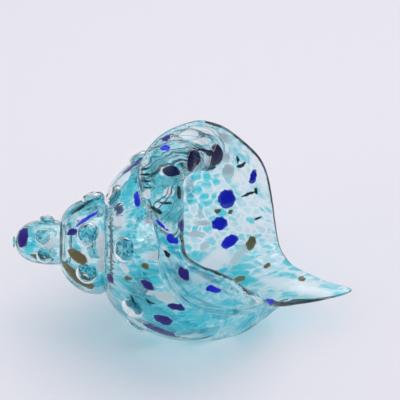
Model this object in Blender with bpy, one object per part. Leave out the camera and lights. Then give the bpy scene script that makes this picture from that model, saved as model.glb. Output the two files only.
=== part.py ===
"""Hand-blown glass conch shell ornament, 240 mm long.

A hollow bubble is necked twice into a stepped spire, drops of clear glass are set round each
whorl, and the open end is flared into a mouth: a tall far lip, a near lip folded outwards with
a thick bead, a pointed beak, and a rolled scroll that comes over the top to the front.
+X runs along the shell axis from spire to beak, -Y is the side with the near lip, +Z is up.
The origin is the middle of the flat ground under the belly.
"""
import math

import bmesh
import bpy
from mathutils import Vector

MM = 0.001

# Glass thickness and the clearance left between neighbouring pieces
SPIRE_WALL = 3.2 * MM
WALL = 4.4 * MM
LIP_WALL = 3.6 * MM
GAP = 0.3 * MM
LIP_ROOT_GAP = 0.55 * MM

# Ground flat under the belly
FLAT_DEPTH = 2.4 * MM

# Lengths along the axis: the body from its seam to its crest, then each whorl neck to neck
BODY_RISE = 53.0 * MM
WHORL_LENGTH = 32.0 * MM
TIP_LENGTH = 32.5 * MM

# Body whorl
BODY_CREST_X = 0.0 * MM
BODY_CREST_R = 70.5 * MM

# Second whorl, the short fall from its crest to the seam of the body, and its swell over that seam
NECK_2_X = BODY_CREST_X - BODY_RISE
NECK_2_R = 34.0 * MM
WHORL_FALL = 5.0 * MM
WHORL_CREST_X = NECK_2_X - WHORL_FALL
WHORL_SWELL = 1.5 * MM
WHORL_CREST_R = NECK_2_R + WHORL_SWELL

# Spire tip bulb, the fall from its crest to the second whorl, and its swell over that neck
NECK_1_X = NECK_2_X - WHORL_LENGTH
NECK_1_R = 15.9 * MM
TIP_FALL = 7.0 * MM
TIP_CREST_X = NECK_1_X - TIP_FALL
TIP_SWELL = 0.4 * MM
TIP_CREST_R = NECK_1_R + TIP_SWELL
TIP_X = NECK_1_X - TIP_LENGTH

# Hand-worked, the axis sags a little at the second whorl
SAG = 3.2 * MM
SAG_BACK = 8.0 * MM
SAG_X = WHORL_CREST_X - SAG_BACK
SAG_REACH = 19.0 * MM

# Roundness of the shoulders: 2 is an ellipse, less is leaner
TIP_FULLNESS = 2.35
WHORL_FULLNESS = 1.8
BODY_FULLNESS = 1.6

# Applied glass drops: diameter and height of each kind
TIP_DROP_D = 12.0 * MM
TIP_DROP_H = 4.5 * MM
WHORL_DROP_D = 16.5 * MM
WHORL_DROP_H = 5.0 * MM
BODY_DROP_D = 18.0 * MM
BODY_DROP_H = 4.8 * MM
END_DROP_D = 8.0 * MM
END_DROP_H = 2.0 * MM

# Where the drops are set: angle from the top towards the near side, x from the whorl's crest
TIP_DROPS = (
    (-25, -3),
    (39, -5),
    (88, -4),
    (195, -3),
    (262, -3),
)
WHORL_DROPS = (
    (-22, -4),
    (39, -6),
    (88, -7),
    (178, -6),
    (228, -5.5),
    (283, -5),
)
BODY_DROPS = (
    (9, -46.5),
    (58, -38),
    (104, -32.5),
    (150, -31),
    (197, -30),
    (244, -29),
    (290, -29),
    (334, -29.5),
)

# Scroll: its rolled glass and the radius of the roll along its run
SCROLL_R = 15.5 * MM
SCROLL_END_R = 16.0 * MM
SCROLL_TIP_R = 1.6 * MM
SCROLL_WALL = 6.0 * MM
SCROLL_BORE_SHARE = 0.62

# Bead along the near lip
BEAD_D = 5.2 * MM

# Angles round the axis where the lips begin and end, from the top towards the near side
NEAR_LIP_START = 57.0
BEAK_START = 165.0
BEAK_END = 195.0
OUTER_LIP_END = 338.0
LIP_SIDE_GAP = 0.3
FULL_TURN = 360.0

# The mouth is drawn round its own middle line, a little under the shell axis
MOUTH_DROP = 2.5 * MM

# Where the wall leaves the round body, and how full it runs on from there: angle, x, fullness
WALL_START = (
    (20, -36, 1.0),
    (60, -32, 1.0),
    (90, -20, 1.2),
    (120, -8, 1.8),
    (150, -2, 3.1),
    (170, -1, 2.4),
    (200, -1, 1.3),
    (240, -1, 1.0),
    (300, -12, 1.0),
    (340, -28, 1.0),
)

# Throat, the ridge from which the lips spring: angle, then x, y, z from the axis
THROAT = (
    (0, -3, 0, 79),
    (10, -10, -13, 78),
    (20, -13, -26, 74),
    (30, -12, -38, 67),
    (40, -7, -49, 58),
    (50, -1, -57, 47),
    (58, 0, -59, 39),
    (67, 4, -59, 30),
    (80, 14, -57, 20),
    (95, 25, -53, 12),
    (110, 35, -48, 2),
    (125, 45, -43, -11),
    (140, 51.5, -34.5, -21),
    (152, 58.5, -29, -32),
    (163, 68, -20, -42),
    (172, 78, -10, -47),
    (180, 82, 0, -49),
    (190, 74, 17, -49),
    (200, 62, 32, -49),
    (215, 51, 47, -42),
    (235, 43, 61, -27),
    (255, 39, 68, -8),
    (275, 35, 71, 9),
    (295, 31, 66, 30),
    (310, 26, 58, 46),
    (322, 19, 49, 58),
    (333, 15, 37, 68),
    (342, 11, 25, 74),
    (351, 4, 12, 78),
)

# Free edge of the lips: angle, then x, y, z from the axis
EDGE = (
    (0, -14, 3, 89),
    (20, -27, -30, 83),
    (40, -18, -55, 66),
    (50, -13, -65, 49),
    (58, -13, -69, 39),
    (67, -10, -72, 28),
    (80, 0, -75, 12.5),
    (95, 13, -73, 1.5),
    (110, 28, -65.5, -7.5),
    (125, 43, -54, -17),
    (140, 55.5, -40, -25),
    (152, 64, -29, -31),
    (163, 75, -19, -41),
    (172, 102, -8, -45.5),
    (180, 124, 0, -43),
    (188, 102, 11, -41),
    (197, 85, 26, -42),
    (207, 77, 34, -37),
    (220, 73, 42, -32),
    (240, 70, 51, -17),
    (260, 68, 55, -2),
    (285, 64, 57, 20),
    (300, 58, 57, 36),
    (313, 48, 54, 50.5),
    (323, 33, 47, 68.5),
    (333, 21, 34, 82.5),
    (342, 10, 26, 88),
)

# Middle line of the scroll, from its open end to its tip: x, y, z from the axis
SCROLL_LINE = (
    (18.5, 21, 69),
    (12, 14, 73.5),
    (5, 6, 77),
    (-2.5, -3, 79),
    (-9.5, -14, 78),
    (-12.5, -26, 75),
    (-11, -38, 68),
    (-7, -47.5, 60),
    (-2, -54, 52),
    (1.5, -57, 46.5),
)

# Roundness of the roll: share of its run over which it swells, and over which it tapers
SWELL_SHARE = 0.45
TAPER_SHARE = 0.42
TAPER_POWER = 1.2

# How the wall runs through the throat into a lip
THROAT_STAGE = 2.0
EDGE_STAGE = 3.0
LEAVE_PROBE = 0.02
ARRIVE_SHARE = 1.5
ARRIVE_LEAST = 12.0 * MM
LIP_CURL = 0.8

# Small steps used to feel the direction of a surface
STAGE_STEP = 0.01
ANGLE_STEP = 0.5
SLOPE_STEP = 1.5 * MM

# Mesh fineness
TURN_STEPS = 36
ARC_STEPS = 8
FALL_STEPS = 3
LINE_STEPS = 60
FALL_LINE_STEPS = 20
NEAR_COLUMNS = 24
BEAK_COLUMNS = 8
OUTER_COLUMNS = 32
SCROLL_COLUMNS = 11
WALL_ROWS = 7
LIP_ROWS = 5
TUBE_SIDES = 16
TUBE_RINGS = 22
BEAD_SIDES = 8
DROP_SIDES = 12
DROP_RINGS = 3
SHARP_EDGE = 35.0

AXIS_HEIGHT = BODY_CREST_R - FLAT_DEPTH

# Each whorl from the neck before it, over its crest, to the neck after it, as x and radius
TIP_WHORL = (
    (TIP_X, 0.0),
    (TIP_CREST_X, TIP_CREST_R),
    (NECK_1_X - GAP / 2, NECK_1_R),
    TIP_FULLNESS,
)
SECOND_WHORL = (
    (NECK_1_X + GAP / 2, NECK_1_R),
    (WHORL_CREST_X, WHORL_CREST_R),
    (NECK_2_X - GAP / 2, NECK_2_R),
    WHORL_FULLNESS,
)
BODY_SEAM = (NECK_2_X + GAP / 2, NECK_2_R)
BODY_CREST = (BODY_CREST_X, BODY_CREST_R)
BODY_END = (BODY_CREST_X + WALL, BODY_CREST_R)


def clear_scene():
    for item in list(bpy.data.objects):
        bpy.data.objects.remove(item, do_unlink=True)


def glass(name, colour, roughness=0.04):
    material = bpy.data.materials.new(name)
    material.use_nodes = True
    shader = material.node_tree.nodes["Principled BSDF"]
    shader.inputs["Base Color"].default_value = (*colour, 1.0)
    shader.inputs["Roughness"].default_value = roughness
    shader.inputs["Metallic"].default_value = 0.0
    shader.inputs["Transmission Weight"].default_value = 0.8
    shader.inputs["IOR"].default_value = 1.5
    return material


def finish(name, mesh_data, material):
    mesh = bpy.data.meshes.new(name)
    mesh_data.to_mesh(mesh)
    mesh_data.free()
    mesh.materials.append(material)
    mesh.shade_smooth()
    mesh.set_sharp_from_angle(angle=math.radians(SHARP_EDGE))
    piece = bpy.data.objects.new(name, mesh)
    bpy.context.scene.collection.objects.link(piece)
    return piece


def axis_height(x):
    return AXIS_HEIGHT - SAG * math.exp(-(((x - SAG_X) / SAG_REACH) ** 2))


def axis_point(x, radius, angle):
    turn = math.radians(angle)
    return Vector((x, -radius * math.sin(turn), axis_height(x) + radius * math.cos(turn)))


def place(x, y, z):
    return Vector((x * MM, y * MM, AXIS_HEIGHT - MOUTH_DROP + z * MM))


# Smooth curves through named points

def hermite(start, end, start_slope, end_slope, share):
    a = share * share
    b = a * share
    return (
        start * (2 * b - 3 * a + 1)
        + start_slope * (b - 2 * a + share)
        + end * (3 * a - 2 * b)
        + end_slope * (b - a)
    )


def round_table(table, angle):
    """Value at an angle of a closed table whose rows start with their angle."""
    turn = angle % FULL_TURN
    count = len(table)
    after = next((i for i, row in enumerate(table) if row[0] > turn), 0)
    rows = [table[(after + k) % count] for k in (-2, -1, 0, 1)]
    base = rows[1][0]
    knots = [((row[0] - base + FULL_TURN / 2) % FULL_TURN) - FULL_TURN / 2 for row in rows]
    values = [Vector(row[1:] + (0,) * (4 - len(row))) for row in rows]
    step = knots[2]
    slope_1 = (values[2] - values[0]) / (knots[2] - knots[0]) * step
    slope_2 = (values[3] - values[1]) / (knots[3] - knots[1]) * step
    share = ((turn - base) % FULL_TURN) / step
    return hermite(values[1], values[2], slope_1, slope_2, share)


def run_point(points, share):
    """Point at a share, 0 to 1, of the smooth run through a list of points."""
    last = len(points) - 1
    spot = min(max(share, 0.0), 1.0) * last
    i = min(int(spot), last - 1)
    before = points[max(i - 1, 0)]
    after = points[min(i + 2, last)]
    slope_1 = (points[i + 1] - before) * 0.5
    slope_2 = (after - points[i]) * 0.5
    return hermite(points[i], points[i + 1], slope_1, slope_2, spot - i)


# The round whorls

def shoulder(seam, crest, fullness, share):
    """Point on the rise from a neck to the crest of a whorl, as x and radius."""
    turn = share * math.pi / 2
    power = 2.0 / fullness
    x = crest[0] - (crest[0] - seam[0]) * math.cos(turn) ** power
    radius = seam[1] + (crest[1] - seam[1]) * math.sin(turn) ** power
    return x, radius


def shoulder_share(seam, crest, fullness, x):
    """Share of the rise at which a whorl reaches x."""
    reach = max(0.0, min(1.0, (crest[0] - x) / (crest[0] - seam[0])))
    return math.acos(reach ** (fullness / 2.0)) / (math.pi / 2)


def fall(crest, neck, share):
    """Point on the short fall from a crest to the next neck, as x and radius."""
    turn = share * math.pi / 2
    x = crest[0] + (neck[0] - crest[0]) * share
    radius = neck[1] + (crest[1] - neck[1]) * math.cos(turn)
    return x, radius


def whorl_profile(seam, crest, neck, fullness, inset):
    """Outer line of a whorl, or its inner line where inset is the glass thickness."""
    start = (seam[0] + inset, max(seam[1] - inset, 0.0))
    top = (crest[0], crest[1] - inset)
    end = (neck[0], neck[1] - inset)
    line = [shoulder(start, top, fullness, i / ARC_STEPS) for i in range(ARC_STEPS + 1)]
    line += [fall(top, end, i / FALL_STEPS) for i in range(1, FALL_STEPS + 1)]
    return line


def lathe(name, outer, inner, material):
    """Spins the outer and inner lines of a whorl round the axis into one closed wall."""
    data = bmesh.new()
    profile = outer + inner[::-1]
    points = [data.verts.new((x, 0, radius)) for x, radius in profile]
    edges = [data.edges.new(pair) for pair in zip(points, points[1:])]
    if outer[0][1] > 0:
        edges.append(data.edges.new((points[-1], points[0])))
    bmesh.ops.spin(
        data,
        geom=points + edges,
        cent=(0, 0, 0),
        axis=(1, 0, 0),
        angle=math.tau,
        steps=TURN_STEPS,
        use_merge=True,
    )
    bmesh.ops.remove_doubles(data, verts=data.verts, dist=0.001 * MM)
    bmesh.ops.recalc_face_normals(data, faces=data.faces)
    for vertex in data.verts:
        vertex.co.z += axis_height(vertex.co.x)
    return finish(name, data, material)


def spire_tip(material):
    outer = whorl_profile(*TIP_WHORL, 0.0)
    inner = whorl_profile(*TIP_WHORL, SPIRE_WALL)
    return lathe("spire_tip", outer, inner, material)


def second_whorl(material):
    seam = SECOND_WHORL[0]
    outer = whorl_profile(*SECOND_WHORL, 0.0)
    inner = whorl_profile(*SECOND_WHORL, SPIRE_WALL)
    inner.insert(0, (seam[0], seam[1] - SPIRE_WALL))
    return lathe("second_whorl", outer, inner, material)


# The body wall and the lips, one surface: stage 0 to 1 is the round body,
# 1 to 2 the wall up to the throat, 2 to 3 a lip out to its free edge


def body_point(share, angle):
    x, radius = shoulder(BODY_SEAM, BODY_CREST, BODY_FULLNESS, share)
    return axis_point(x, radius, angle)


def shell_point(stage, angle):
    leave_x, fullness, _ = round_table(WALL_START, angle)
    leave_x = BODY_CREST_X + leave_x * MM
    leave = shoulder_share(BODY_SEAM, BODY_CREST, BODY_FULLNESS, leave_x)
    if stage <= 1.0:
        return body_point(leave * stage, angle)
    start = body_point(leave, angle)
    throat = place(*round_table(THROAT, angle)[:3])
    edge = place(*round_table(EDGE, angle)[:3])
    wall_length = (throat - start).length
    lip_length = (edge - throat).length
    before = max(leave - LEAVE_PROBE, 0.0)
    along = (body_point(before + LEAVE_PROBE, angle) - body_point(before, angle)).normalized()
    turn = (throat - start) / wall_length * lip_length + (edge - throat) / lip_length * wall_length
    turn = turn / (wall_length + lip_length)
    if stage <= THROAT_STAGE:
        leaving = along * wall_length * fullness
        arriving = turn * min(wall_length, max(lip_length * ARRIVE_SHARE, ARRIVE_LEAST))
        return hermite(start, throat, leaving, arriving, stage - 1.0)
    leaving = (edge - throat) * 2 - turn * lip_length
    return hermite(throat, edge, turn * lip_length, leaving * LIP_CURL, stage - THROAT_STAGE)


def shell_normal(stage, angle):
    low = max(stage - STAGE_STEP, 0.0)
    high = min(stage + STAGE_STEP, EDGE_STAGE)
    along = shell_point(high, angle) - shell_point(low, angle)
    across = shell_point(stage, angle + ANGLE_STEP) - shell_point(stage, angle - ANGLE_STEP)
    return across.cross(along).normalized()


def wall_pair(stage, angle, thickness):
    """Outer and inner point of the wall."""
    outer = shell_point(stage, angle)
    inner = outer - shell_normal(stage, angle) * thickness
    return outer, inner


def close_sheet(name, outer, inner, ring, material):
    """One closed solid between two grids of points."""
    data = bmesh.new()
    skins = [[[data.verts.new(p) for p in row] for row in grid] for grid in (outer, inner)]
    rows = len(outer)
    columns = len(outer[0])
    for skin in skins:
        for i in range(rows - 1):
            for j in range(columns if ring else columns - 1):
                k = (j + 1) % columns
                data.faces.new((skin[i][j], skin[i][k], skin[i + 1][k], skin[i + 1][j]))
    if not ring:
        bmesh.ops.bridge_loops(data, edges=[e for e in data.edges if e.is_boundary])
    else:
        for i in (0, rows - 1):
            for j in range(columns):
                k = (j + 1) % columns
                data.faces.new((skins[0][i][j], skins[0][i][k], skins[1][i][k], skins[1][i][j]))
    bmesh.ops.recalc_face_normals(data, faces=data.faces)
    return finish(name, data, material)


def spread(start, end, count):
    return [start + (end - start) * i / count for i in range(count + 1)]


def body_angles():
    angles = spread(NEAR_LIP_START, BEAK_START, NEAR_COLUMNS)[:-1]
    angles += spread(BEAK_START, BEAK_END, BEAK_COLUMNS)[:-1]
    angles += spread(BEAK_END, OUTER_LIP_END, OUTER_COLUMNS)[:-1]
    angles += spread(OUTER_LIP_END, NEAR_LIP_START + FULL_TURN, SCROLL_COLUMNS)[:-1]
    return angles


def body_whorl(material):
    angles = body_angles()
    stages = spread(0.0, 1.0, ARC_STEPS) + spread(1.0, THROAT_STAGE, WALL_ROWS)[1:]
    outer = []
    inner = []
    for stage in stages:
        thickness = SPIRE_WALL + (WALL - SPIRE_WALL) * min(stage, 1.0)
        pairs = [wall_pair(stage, angle, thickness) for angle in angles]
        outer.append([pair[0] for pair in pairs])
        inner.append([pair[1] for pair in pairs])
    inner[0] = [axis_point(BODY_SEAM[0], NECK_2_R - SPIRE_WALL, angle) for angle in angles]
    return close_sheet("body_whorl", outer, inner, True, material)


def lip_angles(start, end, columns):
    """The body's own angles between two ends, drawn in a little at both."""
    angles = spread(start, end, columns)
    angles[0] += LIP_SIDE_GAP
    angles[-1] -= LIP_SIDE_GAP
    return angles


def root_gap(angle):
    """Share of a lip's width that the gap at its root takes."""
    step = shell_point(THROAT_STAGE + STAGE_STEP, angle) - shell_point(THROAT_STAGE, angle)
    return STAGE_STEP * LIP_ROOT_GAP / step.length


def lip(name, start, end, columns, material):
    """A lip from the throat to its free edge, between two angles."""
    angles = lip_angles(start, end, columns)
    outer = []
    inner = []
    for row in spread(0.0, 1.0, LIP_ROWS):
        thickness = WALL + (LIP_WALL - WALL) * row
        pairs = []
        for angle in angles:
            root = root_gap(angle)
            pairs.append(wall_pair(THROAT_STAGE + root + (1.0 - root) * row, angle, thickness))
        outer.append([pair[0] for pair in pairs])
        inner.append([pair[1] for pair in pairs])
    return close_sheet(name, outer, inner, False, material)


# The scroll and the bead are tubes along a smooth run

def frames(centres):
    """Two directions across a run at each of its points, turned as little as possible."""
    side = None
    pairs = []
    for i, centre in enumerate(centres):
        before = centres[max(i - 1, 0)]
        after = centres[min(i + 1, len(centres) - 1)]
        along = (after - before).normalized()
        if side is None:
            side = along.orthogonal().normalized()
        side = (side - along * side.dot(along)).normalized()
        pairs.append((side, along.cross(side)))
    return pairs


def tube_rings(centres, radii, sides):
    rings = []
    for centre, radius, (side, up) in zip(centres, radii, frames(centres)):
        turns = [math.tau * k / sides for k in range(sides)]
        rings.append([centre + (side * math.cos(t) + up * math.sin(t)) * radius for t in turns])
    return rings


def skin_rings(data, rings):
    loops = [[data.verts.new(p) for p in ring] for ring in rings]
    for low, high in zip(loops, loops[1:]):
        for k in range(len(low)):
            n = (k + 1) % len(low)
            data.faces.new((low[k], low[n], high[n], high[k]))
    return loops


def scroll_radius(share):
    """Radius of the roll at a share of its run."""
    swell = math.sin(min(share / SWELL_SHARE, 1.0) * math.pi / 2)
    full = SCROLL_END_R + (SCROLL_R - SCROLL_END_R) * swell
    taper = math.sin(min((1.0 - share) / TAPER_SHARE, 1.0) * math.pi / 2) ** TAPER_POWER
    return SCROLL_TIP_R + (full - SCROLL_TIP_R) * taper


def scroll_shape(name, extra, hollow, material):
    line = [place(*point) for point in SCROLL_LINE]
    shares = spread(0.0, 1.0, TUBE_RINGS)
    centres = [run_point(line, share) for share in shares]
    radii = [scroll_radius(share) + extra for share in shares]
    data = bmesh.new()
    outer = skin_rings(data, tube_rings(centres, radii, TUBE_SIDES))
    data.faces.new(outer[-1])
    if hollow:
        deep = [i for i, share in enumerate(shares) if share <= SCROLL_BORE_SHARE]
        bore = [max(radii[i] - SCROLL_WALL, GAP) for i in deep]
        inside = skin_rings(data, tube_rings(centres[:len(deep)], bore, TUBE_SIDES))
        data.faces.new(inside[-1])
        for k in range(TUBE_SIDES):
            n = (k + 1) % TUBE_SIDES
            data.faces.new((outer[0][k], outer[0][n], inside[0][n], inside[0][k]))
    else:
        data.faces.new(outer[0])
    bmesh.ops.recalc_face_normals(data, faces=data.faces)
    return finish(name, data, material)


def near_bead(material):
    """The thick rounded edge, laid along the free edge of the near lip."""
    centres = []
    for angle in lip_angles(NEAR_LIP_START, BEAK_START, NEAR_COLUMNS):
        outer, inner = wall_pair(EDGE_STAGE, angle, LIP_WALL)
        ahead = shell_point(EDGE_STAGE, angle + ANGLE_STEP)
        behind = shell_point(EDGE_STAGE, angle - ANGLE_STEP)
        beyond = (outer - inner).cross(ahead - behind).normalized()
        centres.append((outer + inner) / 2 + beyond * (BEAD_D / 2 + GAP))
    data = bmesh.new()
    loops = skin_rings(data, tube_rings(centres, [BEAD_D / 2] * len(centres), BEAD_SIDES))
    data.faces.new(loops[0])
    data.faces.new(loops[-1])
    bmesh.ops.recalc_face_normals(data, faces=data.faces)
    return finish("near_lip_bead", data, material)


# The applied drops sit on the round part of a whorl

def outer_line(seam, crest, neck, fullness):
    """Fine outer line of a whorl from its first neck over the crest to the next neck."""
    line = [shoulder(seam, crest, fullness, share) for share in spread(0.0, 1.0, LINE_STEPS)]
    return line + [fall(crest, neck, share) for share in spread(0.0, 1.0, FALL_LINE_STEPS)[1:]]


def line_spot(line, distance):
    """Point at a distance along a line, as x and radius; past its end it runs on straight."""
    gone = 0.0
    for (x1, r1), (x2, r2) in zip(line, line[1:]):
        step = math.hypot(x2 - x1, r2 - r1)
        if gone + step >= distance:
            break
        gone += step
    share = (distance - gone) / step
    return x1 + (x2 - x1) * share, r1 + (r2 - r1) * share


def distance_to(line, x):
    """Distance along a line at which it reaches x."""
    gone = 0.0
    for (x1, r1), (x2, r2) in zip(line, line[1:]):
        if x2 >= x:
            return gone + math.hypot(x2 - x1, r2 - r1) * (x - x1) / (x2 - x1)
        gone += math.hypot(x2 - x1, r2 - r1)
    return gone


def surface_spot(line, x, angle, along, across):
    """Point and outward direction at a distance along and across from a place on a whorl."""
    start = distance_to(line, x)
    r0 = line_spot(line, start)[1]
    x1, r1 = line_spot(line, max(start + along, 0.0))
    before = line_spot(line, max(start + along - SLOPE_STEP, 0.0))
    after = line_spot(line, start + along + SLOPE_STEP)
    slope = math.hypot(after[0] - before[0], after[1] - before[1])
    run = (after[0] - before[0]) / slope
    rise = (after[1] - before[1]) / slope
    turn = angle + math.degrees(across / r0)
    bend = math.radians(turn)
    outward = Vector((-rise, -run * math.sin(bend), run * math.cos(bend)))
    return axis_point(x1, r1, turn), outward


def drop(name, line, x, angle, width, height, material):
    """A rounded drop of glass whose underside follows the whorl it is set on."""
    under = []
    over = []
    for i in range(DROP_RINGS + 1):
        reach = math.sin(math.pi / 2 * i / DROP_RINGS)
        rise = height * math.cos(math.pi / 2 * i / DROP_RINGS)
        low = []
        high = []
        for k in range(DROP_SIDES):
            turn = math.tau * k / DROP_SIDES
            along = math.cos(turn) * reach * width / 2
            across = math.sin(turn) * reach * width / 2
            spot, outward = surface_spot(line, x, angle, along, across)
            low.append(spot + outward * GAP)
            high.append(spot + outward * (GAP + rise))
        under.append(low)
        over.append(high)
    data = bmesh.new()
    tops = [[data.verts.new(p) for p in ring] for ring in over[1:]]
    bottoms = [[data.verts.new(p) for p in ring] for ring in under[1:-1]] + [tops[-1]]
    for loops in (tops, bottoms):
        for low, high in zip(loops, loops[1:]):
            for k in range(DROP_SIDES):
                n = (k + 1) % DROP_SIDES
                data.faces.new((low[k], low[n], high[n], high[k]))
    for loops, centre in ((tops, over[0][0]), (bottoms, under[0][0])):
        middle = data.verts.new(centre)
        for k in range(DROP_SIDES):
            data.faces.new((loops[0][k], loops[0][(k + 1) % DROP_SIDES], middle))
    bmesh.ops.recalc_face_normals(data, faces=data.faces)
    return finish(name, data, material)


def end_drop(material):
    """The small drop that caps the spire."""
    data = bmesh.new()
    bmesh.ops.create_uvsphere(data, u_segments=DROP_SIDES, v_segments=BEAD_SIDES, radius=1.0)
    bmesh.ops.scale(data, verts=data.verts, vec=(END_DROP_H / 2, END_DROP_D / 2, END_DROP_D / 2))
    place_x = TIP_X - GAP - END_DROP_H / 2
    bmesh.ops.translate(data, verts=data.verts, vec=(place_x, 0, axis_height(place_x)))
    return finish("spire_end_drop", data, material)


def cut(piece, cutter):
    modifier = piece.modifiers.new("cut by " + cutter.name, "BOOLEAN")
    modifier.operation = "DIFFERENCE"
    modifier.solver = "EXACT"
    modifier.object = cutter


def hide(cutter):
    cutter.hide_render = True
    cutter.display_type = "WIRE"


def table_cutter(material):
    data = bmesh.new()
    bmesh.ops.create_cube(data, size=1.0)
    bmesh.ops.scale(data, verts=data.verts, vec=(BODY_CREST_R * 2, BODY_CREST_R * 2, BODY_CREST_R))
    bmesh.ops.translate(data, verts=data.verts, vec=(0, 0, -BODY_CREST_R / 2))
    return finish("ground_cutter", data, material)


def build():
    clear_scene()
    turquoise = glass("turquoise_glass", (0.30, 0.72, 0.76))
    pale = glass("pale_milky_glass", (0.62, 0.88, 0.90))
    clear = glass("clear_glass", (0.80, 0.93, 0.93))
    blue = glass("spire_glass", (0.22, 0.55, 0.72))
    teal = glass("scroll_glass", (0.18, 0.58, 0.62))

    spire_tip(blue)
    second_whorl(turquoise)
    body = body_whorl(turquoise)
    near = lip("near_lip", NEAR_LIP_START, BEAK_START, NEAR_COLUMNS, pale)
    lip("siphon_beak", BEAK_START, BEAK_END, BEAK_COLUMNS, pale)
    outer = lip("outer_lip", BEAK_END, OUTER_LIP_END, OUTER_COLUMNS, pale)
    bead = near_bead(clear)
    scroll_shape("scroll", 0.0, True, teal)

    room = scroll_shape("scroll_room", GAP, False, clear)
    ground = table_cutter(clear)
    for piece in (body, near, outer, bead):
        cut(piece, room)
    cut(body, ground)
    hide(room)
    hide(ground)

    tip_whorl = outer_line(*TIP_WHORL)
    mid_whorl = outer_line(*SECOND_WHORL)
    main_whorl = outer_line(BODY_SEAM, BODY_CREST, BODY_END, BODY_FULLNESS)
    end_drop(clear)
    kinds = (
        ("spire_drop_%d", TIP_DROPS, tip_whorl, TIP_CREST_X, TIP_DROP_D, TIP_DROP_H),
        ("second_whorl_drop_%d", WHORL_DROPS, mid_whorl, WHORL_CREST_X, WHORL_DROP_D, WHORL_DROP_H),
        ("shoulder_drop_%d", BODY_DROPS, main_whorl, BODY_CREST_X, BODY_DROP_D, BODY_DROP_H),
    )
    for name, places, line, crest_x, width, height in kinds:
        for i, (angle, x) in enumerate(places):
            drop(name % (i + 1), line, crest_x + x * MM, angle, width, height, clear)


build()
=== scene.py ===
"""Hand-blown glass conch shell ornament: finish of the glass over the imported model."""
import math

import bmesh
import bpy
from mathutils import Matrix, Vector, kdtree


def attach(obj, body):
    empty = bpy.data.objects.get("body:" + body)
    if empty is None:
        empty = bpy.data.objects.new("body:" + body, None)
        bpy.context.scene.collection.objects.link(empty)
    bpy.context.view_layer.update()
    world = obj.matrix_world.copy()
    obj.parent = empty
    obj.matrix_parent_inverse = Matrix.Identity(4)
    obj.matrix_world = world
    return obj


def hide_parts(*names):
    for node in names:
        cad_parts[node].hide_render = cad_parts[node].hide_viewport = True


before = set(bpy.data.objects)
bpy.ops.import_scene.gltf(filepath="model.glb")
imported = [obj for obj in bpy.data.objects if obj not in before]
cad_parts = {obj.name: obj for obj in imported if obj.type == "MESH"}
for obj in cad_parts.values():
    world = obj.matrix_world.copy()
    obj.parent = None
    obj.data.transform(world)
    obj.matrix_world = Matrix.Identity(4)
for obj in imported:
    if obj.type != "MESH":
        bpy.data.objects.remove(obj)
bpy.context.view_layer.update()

scene = bpy.context.scene
scene.view_settings.view_transform = "Standard"

# Camera
# The photograph looks down at the shell from its near side with a long lens.

MM = 0.001
FRAME_PIXELS = 400
CAMERA_DISTANCE = 1.2
LOOK_AT = Vector((14.3, 18.5, 91.6)) * MM
LOOK_DOWN = math.radians(36.0)
camera_data = bpy.data.cameras.new("camera")
camera_data.sensor_width = 36.0
camera_data.lens = 150.75
camera = bpy.data.objects.new("camera", camera_data)
scene.collection.objects.link(camera)
scene.camera = camera
away = Vector((0, -math.cos(LOOK_DOWN), math.sin(LOOK_DOWN)))
camera.location = LOOK_AT + away * CAMERA_DISTANCE
camera.rotation_euler = (LOOK_AT - camera.location).to_track_quat("-Z", "Y").to_euler()

# Table
# A plain pale top, large enough to fill every view. It lies a hair under the flat of the
# shell, so that the two faces never share a plane.

TABLE_REACH = 6.0
TABLE_DROP = 0.0002
top = bmesh.new()
bmesh.ops.create_grid(top, x_segments=1, y_segments=1, size=TABLE_REACH)
bmesh.ops.translate(top, verts=top.verts, vec=(0, 0, -TABLE_DROP))
top_mesh = bpy.data.meshes.new("table_top")
top.to_mesh(top_mesh)
top.free()
table_top = bpy.data.objects.new("table_top", top_mesh)
scene.collection.objects.link(table_top)
top_paint = bpy.data.materials.new("pale_table")
top_paint.use_nodes = True
paint = top_paint.node_tree.nodes["Principled BSDF"]
paint.inputs["Base Color"].default_value = (0.80, 0.77, 0.81, 1)
paint.inputs["Roughness"].default_value = 0.55
paint.inputs["Specular IOR Level"].default_value = 0.2
top_mesh.materials.append(top_paint)

# Lights
# One large soft lamp above and behind, a narrower one at the upper left whose reflection
# lies on the whorls, and a pale room with a dark band above its horizon. The glass bends it
# into dark outlines, and gathers lamplight on the table.

ROOM_PALE = (0.78, 0.76, 0.81, 1)
BAND_DARK = (0.06, 0.25, 0.31)
BAND_PALE = (0.93, 0.94, 1.0)
BAND_START, BAND_FULL = 0.08, 0.10
BAND_FADE, BAND_END = 0.18, 0.48
PANE_SCALE = 2.6
LIGHT_BOUNCES = 32
scene.cycles.caustics_refractive = True
scene.cycles.caustics_reflective = False
scene.cycles.max_bounces = LIGHT_BOUNCES
scene.cycles.transmission_bounces = LIGHT_BOUNCES


def softbox(name, place, aim, size, watts, roll=0.0):
    data = bpy.data.lights.new(name, "AREA")
    data.shape = "RECTANGLE"
    data.size, data.size_y = size
    data.energy = watts
    lamp = bpy.data.objects.new(name, data)
    lamp.location = place
    facing = (Vector(aim) - Vector(place)).to_track_quat("-Z", "Y").to_matrix()
    lamp.rotation_euler = (facing @ Matrix.Rotation(math.radians(roll), 3, "Z")).to_euler()
    scene.collection.objects.link(lamp)


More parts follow.
